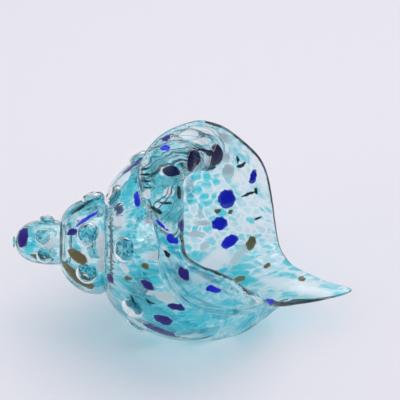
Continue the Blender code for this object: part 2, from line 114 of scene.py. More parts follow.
class Wire:
    """A socket of a node tree, with arithmetic: an expression on wires adds its Math nodes."""

    def __init__(self, tree, socket=None):
        self.tree = tree
        self.socket = socket

    def node(self, kind, settings=None, values=None, output=0):
        """A new node: its settings first, then what goes into its sockets."""
        made = self.tree.nodes.new("ShaderNode" + kind)
        for name, value in (settings or {}).items():
            if name == "stops":
                while len(made.color_ramp.elements) < len(value):
                    made.color_ramp.elements.new(0.5)
                for stop, (position, colour) in zip(made.color_ramp.elements, value):
                    stop.position = position
                    stop.color = (*colour, 1.0)
            else:
                setattr(made, name, value)
        for name, value in (values or {}).items():
            if isinstance(value, Wire):
                self.tree.links.new(value.socket, made.inputs[name])
            else:
                made.inputs[name].default_value = value
        return Wire(self.tree, made.outputs[output] if made.outputs else None)

    def math(self, operation, other=0.0, swap=False):
        first, second = (other, self) if swap else (self, other)
        return self.node("Math", {"operation": operation}, {0: first, 1: second})

    def __add__(self, other):
        return self.math("ADD", other)

    __radd__ = __add__

    def __sub__(self, other):
        return self.math("SUBTRACT", other)

    def __rsub__(self, other):
        return self.math("SUBTRACT", other, swap=True)

    def __mul__(self, other):
        return self.math("MULTIPLY", other)

    __rmul__ = __mul__

    def step(self, low, high):
        """0 below low, 1 above high, smooth between; falls where low is above high."""
        values = {"Value": self, "From Min": low, "From Max": high}
        return self.node("MapRange", {"interpolation_type": "SMOOTHSTEP"}, values)

    def output(self, i):
        """Another output of the same node."""
        return Wire(self.tree, self.socket.node.outputs[i])


def mix(factor, first, second):
    """Colour between two colours."""
    return factor.node("Mix", {"data_type": "RGBA"}, {0: factor, 6: first, 7: second}, 2)


softbox("key_lamp", (0.25, 0.45, 1.5), (0, 0, 0.05), (1.8, 1.3), 12.5)
softbox("window_lamp", (-0.85, -0.49, 0.69), (-0.03, -0.04, 0.11), (0.46, 0.18), 1.3, -34.0)

world = bpy.data.worlds.new("pale_room")
scene.world = world
world.use_nodes = True
world.node_tree.nodes.clear()
room = Wire(world.node_tree)
direction = room.node("TexCoord")
height = room.node("SeparateXYZ", None, {0: direction}, 2)
band = room.node("ValToRGB", {"stops": ((BAND_FADE, BAND_DARK), (BAND_END, BAND_PALE))}, {0: height})
panes = room.node("TexVoronoi", {"distance": "CHEBYCHEV"}, {"Vector": direction, "Scale": PANE_SCALE}, 1)
panes = room.node("MapRange", None, {"Value": panes, "From Min": 0.35, "From Max": 0.65, "To Min": 0.35})
band = room.node("Mix", {"data_type": "RGBA", "blend_type": "MULTIPLY"}, {0: 1.0, 6: band, 7: panes}, 2)
above = room.node("MapRange", None, {"Value": height, "From Min": BAND_START, "From Max": BAND_FULL})
room = room.node("Background", None, {"Color": mix(above, ROOM_PALE, band), "Strength": 1.0})
room.node("OutputWorld", None, {"Surface": room})

# Glass body
# One bubble of glass, necked twice into a spire and flared at its open end into the mouth,
# whose edge is fire-polished. It is clear glass over a mottled turquoise and white layer.

SPIRE_WALL = 3.2 * MM
WALL = 4.4 * MM
EDGE_WALL = 2.6 * MM
TIP = ((-117.5, 0.0), (-92.0, 16.3), (-85.0, 15.9), 2.35)
SECOND = ((-85.0, 15.9), (-58.0, 35.5), (-53.0, 34.0), 1.8)
BODY_SEAM = (-53.0, 34.0)
BODY_CREST = (0.0, 70.5)
BODY_FULLNESS = 1.6
FLAT_DEPTH = 2.4
AXIS_HEIGHT = BODY_CREST[1] - FLAT_DEPTH
MOUTH_DROP = 2.5
SAG, SAG_X, SAG_REACH = 3.2, -66.0, 19.0

# Where the wall leaves the round body, and how full it runs on: angle, x, fullness
WALL_START = (
    (20, -36, 1.0), (60, -32, 1.0), (90, -20, 1.2), (120, -8, 1.8), (150, -2, 3.1), (170, -1, 2.4),
    (200, -1, 1.3), (240, -1, 1.0), (300, -12, 1.0), (340, -28, 1.0),
)
# The ridge from which the lips spring: angle, then x, y, z from the middle line of the mouth
THROAT = (
    (0, -3, 0, 79), (10, -10, -13, 78), (20, -13, -26, 74), (30, -12, -38, 67), (40, -7, -49, 58),
    (50, -1, -57, 47), (58, 0, -59, 39), (67, 4, -59, 30), (80, 14, -57, 20), (95, 25, -53, 12),
    (110, 35, -48, 2), (125, 45, -43, -11), (140, 51.5, -34.5, -21), (152, 58.5, -29, -32),
    (163, 68, -20, -42), (172, 78, -10, -47), (180, 82, 0, -49), (190, 74, 17, -49),
    (200, 62, 32, -49), (215, 51, 47, -42), (235, 43, 61, -27), (255, 39, 68, -8), (275, 35, 71, 9),
    (295, 31, 66, 30), (310, 26, 58, 46), (322, 19, 49, 58), (333, 15, 37, 68), (342, 11, 25, 74),
    (351, 4, 12, 78),
)
# The free edge of the lips, measured the same way
EDGE = (
    (0, -14, 3, 89), (20, -27, -30, 83), (40, -18, -55, 66), (50, -13, -65, 49), (58, -13, -69, 39),
    (67, -10, -72, 28), (80, 0, -75, 12.5), (95, 13, -73, 1.5), (110, 28, -65.5, -7.5),
    (125, 43, -54, -17), (140, 55.5, -40, -25), (152, 64, -29, -31), (163, 75, -19, -41),
    (172, 102, -8, -45.5), (180, 124, 0, -43), (188, 102, 11, -41), (197, 85, 26, -42),
    (207, 77, 34, -37), (220, 73, 42, -32), (240, 70, 51, -17), (260, 68, 55, -2),
    (285, 64, 57, 20), (300, 58, 57, 36), (313, 48, 54, 50.5), (323, 33, 47, 68.5),
    (333, 21, 34, 82.5), (342, 10, 26, 88),
)
NEAR_LIP_START, BEAK_START, BEAK_END, OUTER_LIP_END = 57.0, 165.0, 195.0, 338.0
LIP_SIDES, BEAK_SIDES, BACK_SIDES = 64, 40, 44
ROUND_STEPS, WALL_STEPS, LIP_STEPS = 22, 34, 26
TIP_STEPS, SECOND_STEPS = 15, 18


def axis_height(x):
    """Height of the spire's axis, which sags a little towards the tip."""
    return AXIS_HEIGHT - SAG * math.exp(-(((x - SAG_X) / SAG_REACH) ** 2))


def axis_point(x, radius, angle):
    """Point round the axis, at an angle in degrees from the top over the near side."""
    turn = math.radians(angle)
    return Vector((x, -radius * math.sin(turn), axis_height(x) + radius * math.cos(turn)))


def place(x, y, z):
    """Point measured from the middle line of the mouth."""
    return Vector((x, y, AXIS_HEIGHT - MOUTH_DROP + z))


def hermite(start, end, start_slope, end_slope, share):
    """Point at a share, 0 to 1, of the curve between two points with a slope at each."""
    a = share * share
    b = a * share
    ends = start * (2 * b - 3 * a + 1) + end * (3 * a - 2 * b)
    return ends + start_slope * (b - 2 * a + share) + end_slope * (b - a)


def round_table(table, angle):
    """Value at an angle of a closed table whose rows start with their angle."""
    turn = angle % 360.0
    count = len(table)
    after = next((i for i, row in enumerate(table) if row[0] > turn), 0)
    rows = [table[(after + k) % count] for k in (-2, -1, 0, 1)]
    base = rows[1][0]
    knots = [((row[0] - base + 180.0) % 360.0) - 180.0 for row in rows]
    values = [Vector(row[1:] + (0,) * (4 - len(row))) for row in rows]
    slope_1 = (values[2] - values[0]) / (knots[2] - knots[0]) * knots[2]
    slope_2 = (values[3] - values[1]) / (knots[3] - knots[1]) * knots[2]
    return hermite(values[1], values[2], slope_1, slope_2, ((turn - base) % 360.0) / knots[2])


def shoulder(seam, crest, fullness, share):
    """Point of x and radius on the rise of a whorl from its seam to its crest."""
    turn = share * math.pi / 2
    power = 2.0 / fullness
    x = crest[0] - (crest[0] - seam[0]) * math.cos(turn) ** power
    return x, seam[1] + (crest[1] - seam[1]) * math.sin(turn) ** power


def whorl_line(seam, crest, neck, fullness, inset, steps):
    """Outer line of a whorl, or its inner line where inset is the glass thickness."""
    start = (seam[0] + inset, max(seam[1] - inset, 0.0))
    top = (crest[0], crest[1] - inset)
    end = (neck[0], neck[1] - inset)
    line = [shoulder(start, top, fullness, i / steps) for i in range(steps + 1)]
    fall_steps = steps // 3
    for i in range(1, fall_steps + 1):
        turn = i / fall_steps
        x = top[0] + (end[0] - top[0]) * turn
        line.append((x, end[1] + (top[1] - end[1]) * math.cos(turn * math.pi / 2)))
    return line


def body_point(share, angle):
    x, radius = shoulder(BODY_SEAM, BODY_CREST, BODY_FULLNESS, share)
    return axis_point(x, radius, angle)


def body_column(angle, stages):
    """The body wall and a lip at one angle.

    Stage 1 leaves the round body, 2 is the throat, and 3 the edge.
    """
    leave_x, fullness, _ = round_table(WALL_START, angle)
    reach = max(0.0, min(1.0, (BODY_CREST[0] - leave_x) / (BODY_CREST[0] - BODY_SEAM[0])))
    leave = math.acos(reach ** (BODY_FULLNESS / 2.0)) / (math.pi / 2)
    start = body_point(leave, angle)
    throat = place(*round_table(THROAT, angle)[:3])
    edge = place(*round_table(EDGE, angle)[:3])
    wall = (throat - start).length
    lip = (edge - throat).length
    along = (start - body_point(leave - 0.02, angle)).normalized()
    turn = ((throat - start) / wall * lip + (edge - throat) / lip * wall) / (wall + lip)
    points = []
    for stage in stages:
        if stage <= 1.0:
            points.append(body_point(leave * stage, angle))
        elif stage <= 2.0:
            arriving = turn * min(wall, max(lip * 1.5, 12.0))
            points.append(hermite(start, throat, along * wall * fullness, arriving, stage - 1.0))
        else:
            leaving = (edge - throat) * 2 - turn * lip
            points.append(hermite(throat, edge, turn * lip, leaving * 0.8, stage - 2.0))
    return points


def spread(start, end, count):
    """Even steps from start to end, both kept."""
    return [start + (end - start) * i / count for i in range(count + 1)]


angles = spread(NEAR_LIP_START, BEAK_START, LIP_SIDES)[:-1]
angles += spread(BEAK_START, BEAK_END, BEAK_SIDES)[:-1]
angles += spread(BEAK_END, OUTER_LIP_END, LIP_SIDES)[:-1]
angles += spread(OUTER_LIP_END, NEAR_LIP_START + 360.0, BACK_SIDES)[:-1]
stages = spread(0.0, 1.0, ROUND_STEPS)[1:]
stages += spread(1.0, 2.0, WALL_STEPS)[1:]
stages += spread(2.0, 3.0, LIP_STEPS)[1:]

outer_rows = []
inner_rows = []
for rows, inset in ((outer_rows, 0.0), (inner_rows, SPIRE_WALL / MM)):
    spire = whorl_line(*TIP, inset, TIP_STEPS)[1:] + whorl_line(*SECOND, inset, SECOND_STEPS)[1:]
    for x, radius in spire:
        rows.append([axis_point(x, radius, angle) for angle in angles])

columns = [body_column(angle, stages) for angle in angles]
body_rows = [[column[i] for column in columns] for i in range(len(stages))]
count = len(angles)
grid = [outer_rows[-1]] + body_rows
# The inner skin lies the thickness of the glass under the outer one
for i, stage in enumerate(stages):
    row = grid[i + 1]
    low = grid[i]
    high = grid[min(i + 2, len(grid) - 1)]
    if stage <= 1.0:
        thick = (SPIRE_WALL + (WALL - SPIRE_WALL) * stage) / MM
    elif stage <= 2.0:
        thick = WALL / MM
    else:
        thick = (WALL + (EDGE_WALL - WALL) * (stage - 2.0)) / MM
    inner = []
    for j in range(count):
        along = high[j] - low[j]
        across = row[(j + 1) % count] - row[j - 1]
        inner.append(row[j] - across.cross(along).normalized() * thick)
    outer_rows.append(row)
    inner_rows.append(inner)

# The rim between the two skins is a half round
rim = []
for step in (0.25, 0.5, 0.75):
    ring = []
    for j in range(count):
        outer = outer_rows[-1][j]
        inner = inner_rows[-1][j]
        beyond = outer - outer_rows[-2][j]
        beyond -= (inner - outer) * beyond.dot(inner - outer) / (inner - outer).length_squared
        bulge = beyond.normalized() * (inner - outer).length / 2
        turn = step * math.pi
        ring.append((outer + inner) / 2 + (outer - inner) / 2 * math.cos(turn) + bulge * math.sin(turn))
    rim.append(ring)
rings = outer_rows + rim + inner_rows[::-1]

body = bmesh.new()
first = bmesh.ops.create_circle(body, segments=count, radius=1.0, cap_ends=True, cap_tris=True)["verts"]
loop = [edge for edge in body.edges if all(len(v.link_edges) == 3 for v in edge.verts)]
centre = next(v for v in first if len(v.link_edges) == count)
centre.co = axis_point(TIP[0][0], 0.0, 0.0) * MM
ring = [v for v in first if v is not centre]
for vertex, point in zip(ring, rings[0]):
    vertex.co = point * MM
for points in rings[1:]:
    grown = bmesh.ops.extrude_edge_only(body, edges=loop)["geom"]
    loop = [item for item in grown if isinstance(item, bmesh.types.BMEdge) and item.is_boundary]
    ring = [v for v in grown if isinstance(v, bmesh.types.BMVert)]
    for vertex, point in zip(ring, points):
        vertex.co = point * MM
last = bmesh.ops.contextual_create(body, geom=loop)["faces"]
poked = bmesh.ops.poke(body, faces=last)["verts"]
poked[0].co = axis_point(TIP[0][0] + SPIRE_WALL / MM, 0.0, 0.0) * MM
# The belly is ground flat where it stands
for vertex in body.verts:
    vertex.co.z = max(vertex.co.z, 0.0)
bmesh.ops.recalc_face_normals(body, faces=body.faces)
mesh = bpy.data.meshes.new("glass_body")
body.to_mesh(mesh)
body.free()
mesh.shade_smooth()
glass_body = bpy.data.objects.new("glass_body", mesh)
scene.collection.objects.link(glass_body)

# Scroll
# The upper end of the lip, rolled up while hot into a thick roll that comes over the top of
# the shell, forward and down, and is pressed on the near side with its drawn-out tip.

SCROLL_R, SCROLL_END_R, SCROLL_TIP_R, SCROLL_WALL = 15.5, 16.0, 1.6, 5.0
SCROLL_BORE_SHARE = 0.62
SCROLL_RINGS, SCROLL_SIDES = 120, 56
RIPPLE_HEIGHT, RIPPLE_TURNS = 0.4, 60.0
CORE_INSET = 2.5
SCROLL_LINE = (
    (18.5, 21, 69), (12, 14, 73.5), (5, 6, 77), (-2.5, -3, 79), (-9.5, -14, 78), (-12.5, -26, 75),
    (-11, -38, 68), (-7, -47.5, 60), (-2, -54, 52), (1.5, -57, 46.5),
)


def run_point(points, share):
    """Point at a share, 0 to 1, of the smooth run through a list of points."""
    last = len(points) - 1
    spot = min(max(share, 0.0), 1.0) * last
    i = min(int(spot), last - 1)
    before = points[max(i - 1, 0)]
    after = points[min(i + 2, last)]
    slopes = (points[i + 1] - before) * 0.5, (after - points[i]) * 0.5
    return hermite(points[i], points[i + 1], *slopes, spot - i)


def scroll_radius(share):
    """Radius of the roll, which swells from its open end and tapers to its tip."""
    swell = SCROLL_END_R + (SCROLL_R - SCROLL_END_R) * math.sin(min(share * 2.2, 1.0) * math.pi / 2)
    taper = min(1.0, (1.0 - share) / 0.42)
    return SCROLL_TIP_R + (swell - SCROLL_TIP_R) * math.sin(taper * math.pi / 2) ** 1.2


def ring_points(centres, radii, sides):
    """Rings of points round a run, turned as little as possible from one to the next."""
    side = None
    rings = []
    for i, (centre, radius) in enumerate(zip(centres, radii)):
        along = (centres[min(i + 1, len(centres) - 1)] - centres[max(i - 1, 0)]).normalized()
        side = along.orthogonal() if side is None else side
        side = (side - along * side.dot(along)).normalized()
        up = along.cross(side)
        turns = [math.tau * k / sides for k in range(sides)]
        rings.append([centre + (side * math.cos(t) + up * math.sin(t)) * radius for t in turns])
    return rings


def closed_skin(name, rings):
    """A closed mesh through rings of points, each end filled."""
    data = bmesh.new()
    loop_verts = bmesh.ops.create_circle(data, segments=len(rings[0]), radius=1.0, cap_ends=True)["verts"]
    loop = list(data.edges)
    for vertex, point in zip(loop_verts, rings[0]):
        vertex.co = point * MM
    for points in rings[1:]:
        grown = bmesh.ops.extrude_edge_only(data, edges=loop)["geom"]
        loop = [item for item in grown if isinstance(item, bmesh.types.BMEdge) and item.is_boundary]
        fresh = [item for item in grown if isinstance(item, bmesh.types.BMVert)]
        for vertex, point in zip(fresh, points):
            vertex.co = point * MM
    bmesh.ops.contextual_create(data, geom=loop)
    bmesh.ops.recalc_face_normals(data, faces=data.faces)
    mesh = bpy.data.meshes.new(name)
    data.to_mesh(mesh)
    data.free()
    piece = bpy.data.objects.new(name, mesh)
    scene.collection.objects.link(piece)
    return piece


line = [place(*point) for point in SCROLL_LINE]
shares = spread(0.0, 1.0, SCROLL_RINGS)
centres = [run_point(line, share) for share in shares]
radii = [scroll_radius(share) for share in shares]
# Ripples from rolling, about 3 mm apart, deepest half way along
for i, share in enumerate(shares):
    fade = math.sin(share * math.pi) ** 2
    radii[i] += RIPPLE_HEIGHT * fade * math.sin(share * RIPPLE_TURNS)
skin = ring_points(centres, radii, SCROLL_SIDES)
bore = [i for i, share in enumerate(shares) if share <= SCROLL_BORE_SHARE]
bore_radii = [max(radii[i] - SCROLL_WALL, 0.4) * min(1.0, (bore[-1] + 1 - i) / 12) ** 0.5 for i in bore]
inside = ring_points([centres[i] for i in bore], bore_radii, SCROLL_SIDES)
outward = (centres[0] - centres[1]).normalized()
mouth = []
for turn in (0.25, 0.5, 0.75):
    half = math.cos(turn * math.pi)
    lift = outward * math.sin(turn * math.pi) * SCROLL_WALL / 2
    mouth.append([(a + b) / 2 + (a - b) / 2 * half + lift for a, b in zip(inside[0], skin[0])])
scroll = closed_skin("scroll_roll", inside[::-1] + mouth + skin)
core_radii = [max(radius - CORE_INSET, 0.5) for radius in radii]
core = closed_skin("scroll_core", ring_points(centres, core_radii, SCROLL_SIDES))

# Bead
# The near edge of the mouth is drawn thick in the flame and rounds into a bead.

BEAD_D = 5.2
BEAD_SIDES = 24
SHARP_ANGLE = math.radians(50)
bead_columns = [j for j, angle in enumerate(angles) if NEAR_LIP_START - 1 <= angle <= BEAK_START + 2]
bead_line = [(outer_rows[-1][j] + inner_rows[-1][j]) / 2 for j in bead_columns]
bead_radii = []
for i in range(len(bead_line)):
    end = min(i, len(bead_line) - 1 - i) / 10
    bead_radii.append(BEAD_D / 2 * (0.55 + 0.45 * min(1.0, end)))
bead = closed_skin("lip_bead", ring_points(bead_line, bead_radii, BEAD_SIDES))

# The wall inside the roll is cut away, and roll and bead are fused on
for operation, tool in (("DIFFERENCE", core), ("UNION", scroll), ("UNION", bead)):
    cut = glass_body.modifiers.new(operation, "BOOLEAN")
    cut.operation = operation
    cut.solver = "MANIFOLD"
    cut.object = tool
depsgraph = bpy.context.evaluated_depsgraph_get()
mesh = bpy.data.meshes.new_from_object(glass_body.evaluated_get(depsgraph))
glass_body.modifiers.clear()
glass_body.data = mesh
for tool in (core, scroll, bead):
    bpy.data.objects.remove(tool, do_unlink=True)
mesh.shade_smooth()
mesh.set_sharp_from_angle(angle=SHARP_ANGLE)

# Glass, chips and painted light
# The hot bubble is rolled in crushed glass. The turquoise and white melt on as cells and veins,
# which stretch into streaks round the belly, and the chips of other colours keep their edges.
# A few chips and patches are painted highlights, painted shade and painted dark reflections.

BLUE, NAVY, NIGHT, BROWN, SHADED_WHITE, WHITE, INK = "blue", "navy", "night", "brown", "grey", "white", "ink"
TEAL, DEEP, CLEAR = "teal", "deep", "clear"
# Grey is for greyish-white chips seen against the light: painted shade. The white and ink colours also paint
# a few highlights and dark reflections.
CHIP_AND_PAINTED_LIGHT_COLOURS = {
    WHITE: (0.84, 0.88, 0.92), SHADED_WHITE: (0.56, 0.69, 0.74), BROWN: (0.16, 0.13, 0.06),
    INK: (0.003, 0.025, 0.04), NAVY: (0.03, 0.016, 0.20), BLUE: (0.012, 0.016, 0.62),
    NIGHT: (0.004, 0.002, 0.05),
}
CHIP_AND_PAINTED_LIGHT_COVER = {WHITE: 0.62, SHADED_WHITE: 0.5, BROWN: 0.92, INK: 0.96, NAVY: 0.94, BLUE: 0.94, NIGHT: 0.97}
# Chips where the photograph shows them, with a few painted highlights, painted shade and painted
# dark reflections among them: the pixel of each one's middle, its length and width in pixels,
# and the turn of its length from level, anticlockwise, in degrees
CHIPS_AND_PAINTED_LIGHT = {
    BLUE: (
        (227, 199, 22, 18, 70), (219.6, 223.5, 17, 14, 20), (229.6, 241.5, 20, 12, 30),
        (253, 177, 22, 7, 72), (214, 289.5, 18, 7, -14), (270, 300, 12, 8, -50),
        (137, 199, 7, 17, 10), (165, 148, 10, 7, 10), (88, 218, 30, 2.6, 35),
        (164, 226, 20, 3, -38), (173, 238, 14, 11, -45),
    ),
    NAVY: (
        (184, 274, 16, 9, -50), (147, 285, 14, 8, -35), (163, 320, 19, 11, -25),
        (177, 307, 19, 7, -15), (160, 331, 36, 10, -22), (166, 137, 9, 13, 0),
        (130, 168, 24, 5, 28), (22, 237, 14, 22, 0), (110, 278, 10, 7, -60), (72, 232, 12, 6, 20),
        (182, 226, 6, 12, 0),
    ),
    NIGHT: (
        (194, 162, 20, 25, 0), (217, 158, 17, 27, 10), (173, 171, 20, 12, 0),
        (205, 151, 32, 2.5, -5), (208, 171, 24, 2.5, -8),
    ),
    BROWN: (
        (251, 243, 16, 9, 65), (239.6, 279, 13, 5, 25), (231, 212, 7, 4, 45), (218, 211, 8, 4, 15),
        (267, 266, 8, 4, 35), (302, 279, 9, 4, 20), (145, 266, 8, 5, -30), (128, 278, 8, 4, 0),
        (77, 256, 24, 11, -30), (79, 279, 50, 13, -40), (42, 258, 26, 5, -12),
        (67, 268, 22, 7, -50),
    ),
    # Greyish-white chips, painted grey: painted shade of the backlight they sit in.
    SHADED_WHITE: (
        (203, 223, 18, 6, 0), (196, 234, 18, 8, 0), (205, 246, 12, 8, 35), (237, 258, 24, 9, 50),
        (245, 248, 14, 7, 50), (228, 172, 24, 13, 80), (226, 158, 16, 9, 80),
        (224, 138, 26, 11, -38),
    ),
    # The white at 49, 240, at 92, 224, at 86, 243 and at 162, 171 is painted highlight. At 190, 134, at 208,
    # 130 and at 203, 141 it is the whitish top of the roll, painted brighter for the light that shines
    # through it.
    WHITE: (
        (165, 297, 22, 11, -20), (151, 293, 10, 5, 10), (137, 323, 24, 8, -38),
        (123, 180, 24, 12, 60), (154, 256, 15, 8, 12), (124, 268, 13, 6, -45),
        (119, 221, 12, 11, 0), (49, 240, 14, 18, 0), (92, 224, 14, 7, 30), (86, 243, 12, 9, 0),
        (101, 243, 9, 30, 0), (101, 266, 8, 14, 0), (162, 171, 10, 7, -20), (169, 192, 12, 9, 40),
        (207, 160, 5, 18, 20), (147, 194, 8, 9, 0), (167, 229, 14, 6, -30), (200, 214, 5, 12, 0),
        (190, 134, 32, 11, 28), (208, 130, 36, 11, -4), (203, 141, 34, 7, 8),
    ),
    # The long thin ink line at 84, 206 is painted dark reflection along the top edge of the second whorl.
    INK: (
        (210, 153, 14, 5, -20), (212, 168, 9, 5, 0), (113, 193, 12, 15, 0), (145, 175, 10, 2.5, 0),
        (146, 181, 11, 2, 0), (147, 187, 10, 2, 0), (145, 169, 9, 2.5, 10), (179, 193, 4, 13, 10),
        (156, 210, 14, 4, -30), (166, 203, 12, 2.5, 0), (248, 194, 18, 2.2, 15),
        (241, 165, 10, 3, 30), (238, 160, 2.5, 10, 10), (256, 191, 2.5, 8, 10),
        (258, 218, 9, 1.8, 20), (167, 254, 9, 4, -50), (150, 302, 12, 2, -30),
        (133, 300, 14, 2, -60), (84, 206, 34, 2.5, 38),
    ),
}
# Patches where the turquoise is strong, where it is deepest, and where the glass is nearly
# clear, measured the same way. Some thin deep and clear strips are painted dark reflections
# and a painted highlight instead.
PATCHES_AND_PAINTED_LIGHT = {
    TEAL: (
        (205, 318, 130, 34, 8), (150, 312, 60, 26, -40), (236, 274, 60, 16, -28),
        (170, 187, 26, 22, 0), (158, 158, 18, 22, 30), (172, 212, 24, 20, 0), (140, 212, 16, 18, 0),
        (137, 180, 10, 18, 0), (76, 206, 36, 16, 40), (29, 238, 12, 36, 0), (142, 274, 34, 22, -30),
        (165, 246, 30, 12, -45), (180, 192, 26, 56, 0), (128, 190, 40, 44, 30),
        (135, 322, 50, 30, -35), (150, 182, 20, 44, 0), (95, 200, 30, 20, 40),
        (188, 320, 60, 40, -10),
    ),
    # The thin deep strips at 170, 262, at 181, 286, at 204, 302, at 226, 292 and at 240, 312 are painted
    # dark reflections along the rim of the near lip; the strip at 80, 206 is painted dark reflection along
    # the top edge of the second whorl.
    DEEP: (
        (165, 175, 10, 60, 8), (80, 206, 48, 10, 38), (170, 262, 28, 3.5, -70),
        (181, 286, 28, 3.5, -48), (204, 302, 36, 3.5, -24), (240, 312, 46, 3, -12),
        (190, 190, 10, 50, 0), (178, 200, 24, 50, 0), (205, 156, 44, 26, 5),
        (182, 276, 34, 15, -52), (212, 280, 62, 6, -30), (226, 292, 50, 3, -22),
        (112, 194, 13, 20, 0), (158, 165, 26, 10, 60), (205, 331, 90, 8, 5),
        (166, 216, 26, 10, -10), (268, 314, 40, 10, 22),
    ),
    # The thin clear strips along the near lip, from 163, 268 down to 252, 311, are a painted highlight along
    # its bead.
    CLEAR: (
        (97, 251, 18, 22, 0), (48, 242, 22, 20, 0), (80, 217, 24, 7, 25), (119, 216, 20, 30, 0),
        (120, 287, 22, 6, -35), (163, 268, 26, 5, -60), (178, 289, 22, 5, -42),
        (205, 303, 40, 5, -18), (245, 307, 50, 5, 0), (198, 290, 34, 3, -35),
        (262, 170, 14, 60, 12), (290, 286, 90, 16, -12), (200, 138, 70, 30, 10),
        (172, 262, 24, 4, -62), (192, 281, 24, 4, -45), (250, 300, 70, 12, -20),
        (60, 245, 30, 30, 0), (85, 222, 24, 26, 0), (92, 252, 26, 30, 0), (290, 305, 60, 10, -5),
        (214, 262, 40, 20, 35), (113, 256, 14, 24, 0), (150, 260, 22, 16, 0),
        (242, 286, 66, 14, 22), (167, 257, 30, 9, -65), (183, 284, 34, 8, -48),
        (210, 285, 58, 8, -30), (212, 303, 44, 8, -22), (252, 311, 40, 6, -5),
    ),
}
PIXEL = CAMERA_DISTANCE * camera_data.sensor_width / camera_data.lens / FRAME_PIXELS / MM
CHIP_DEPTH, CLEAR_DEPTH = 7.0, 24.0
THIN_CHIP = 4.0
GLASS_IOR = 1.46
CELL_SCALE, STREAK_SCALE, CLOUD_SCALE, SLANT_SCALE, SCATTER_SCALE = 0.19, 0.16, 0.028, 0.30, 0.052
CLEAR_GLASS, TURQUOISE, DEEP_TURQUOISE = (0.96, 0.995, 1.0, 1), (0.08, 0.70, 0.78, 1), (0.015, 0.30, 0.40, 1)
PALE_MILK, TURQUOISE_MILK = (0.86, 0.93, 0.95, 1), (0.25, 0.72, 0.78, 1)
ROLL_WHITE, ROLL_MILK, ROLL_TEAL = (0.97, 0.99, 1.0, 1), (0.93, 0.97, 0.98, 1), (0.06, 0.62, 0.68, 1)
ROLL_LINE = (0.002, 0.06, 0.10, 1)
SHADE_PALE, SHADE_DEEP, SHADE_CHIP = (0.83, 0.88, 0.89, 1), (0.50, 0.73, 0.78, 1), (0.6, 0.66, 0.75, 1)
MILK_SHARE = 0.02


def new_glass(name):
    material = bpy.data.materials.new(name)
    material.use_nodes = True
    material.node_tree.nodes.clear()
    return material, Wire(material.node_tree)


def pixel_ray(x, y):
    """Start and direction, in metres, of the line of sight through a pixel."""
    half = camera_data.sensor_width / camera_data.lens / 2
    middle = FRAME_PIXELS / 2
    sight = Vector(((x - middle) / middle * half, (middle - y) / middle * half, -1.0))
    return camera.location, (camera.rotation_euler.to_matrix() @ sight).normalized()


def chip_place(x, y):
    """Place on the glass that the photograph shows at a pixel."""
    return glass_body.ray_cast(*pixel_ray(x, y))[1]


